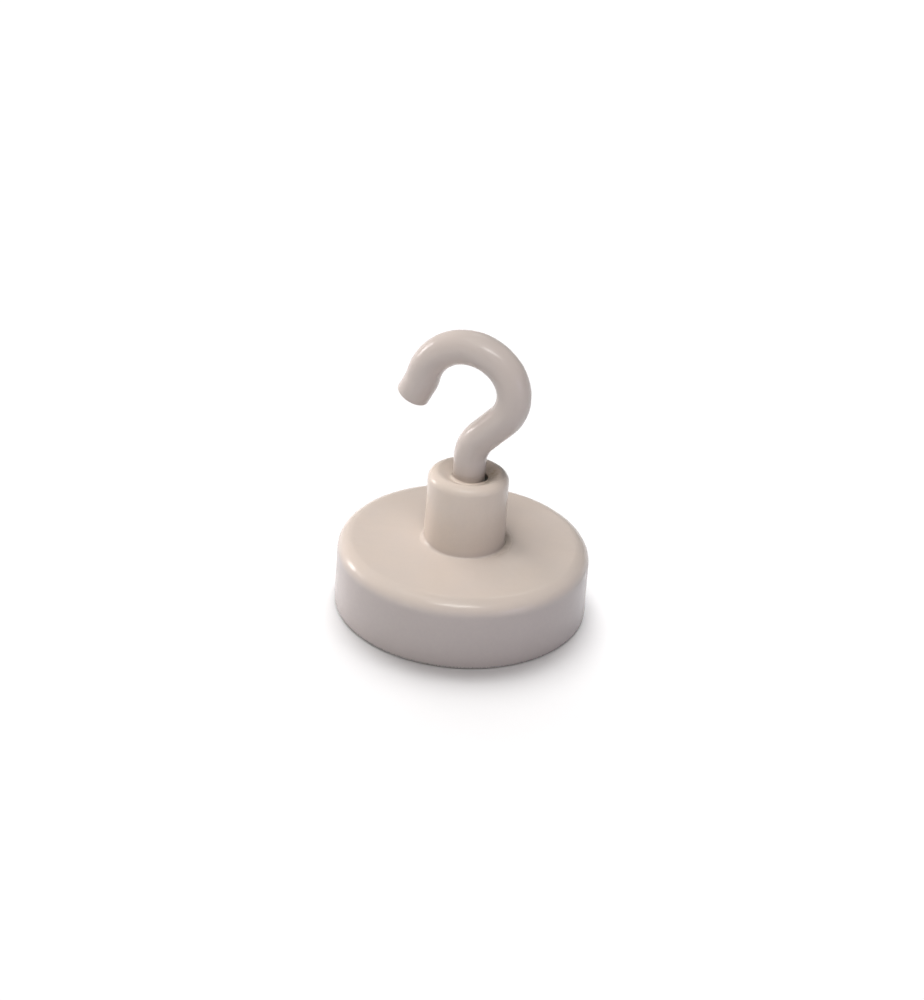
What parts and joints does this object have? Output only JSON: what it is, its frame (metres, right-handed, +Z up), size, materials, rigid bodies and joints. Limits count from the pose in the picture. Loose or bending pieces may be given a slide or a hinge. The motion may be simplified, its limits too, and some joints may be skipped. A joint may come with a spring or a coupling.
{
  "type": "magnetic hook",
  "caption": "Small white painted pot magnet with a threaded bush standing on it and an open wire hook screwed into the bush, which turns to face any way.",
  "frame": {"origin": "centre of the magnetic face, on the plane of the cup's rim", "axes": "+Z up along the bush and the hook's shank, away from the magnetic face; the hook lies in the XZ plane with its mouth towards -X"},
  "size_m": [0.025, 0.025, 0.0288],
  "materials": {
    "white_paint": "gloss",
    "ferrite": "matte",
    "adhesive": "satin",
    "potting_resin": "gloss"
  },
  "bodies": {
    "magnet_base": {"steel_cup": "white_paint", "threaded_bush": "white_paint", "ring_magnet": "ferrite", "magnet_glue": "adhesive", "potting_ring": "potting_resin", "centre_plug": "potting_resin"},
    "hook": {"screw_hook": "white_paint"}
  },
  "joints": [
    {"name": "hook_turn", "type": "hinge", "parent": "magnet_base", "child": "hook", "pos_m": [0, 0, 0.0144], "axis": [0, 0, 1], "range_deg": [-180, 180]}
  ]
}
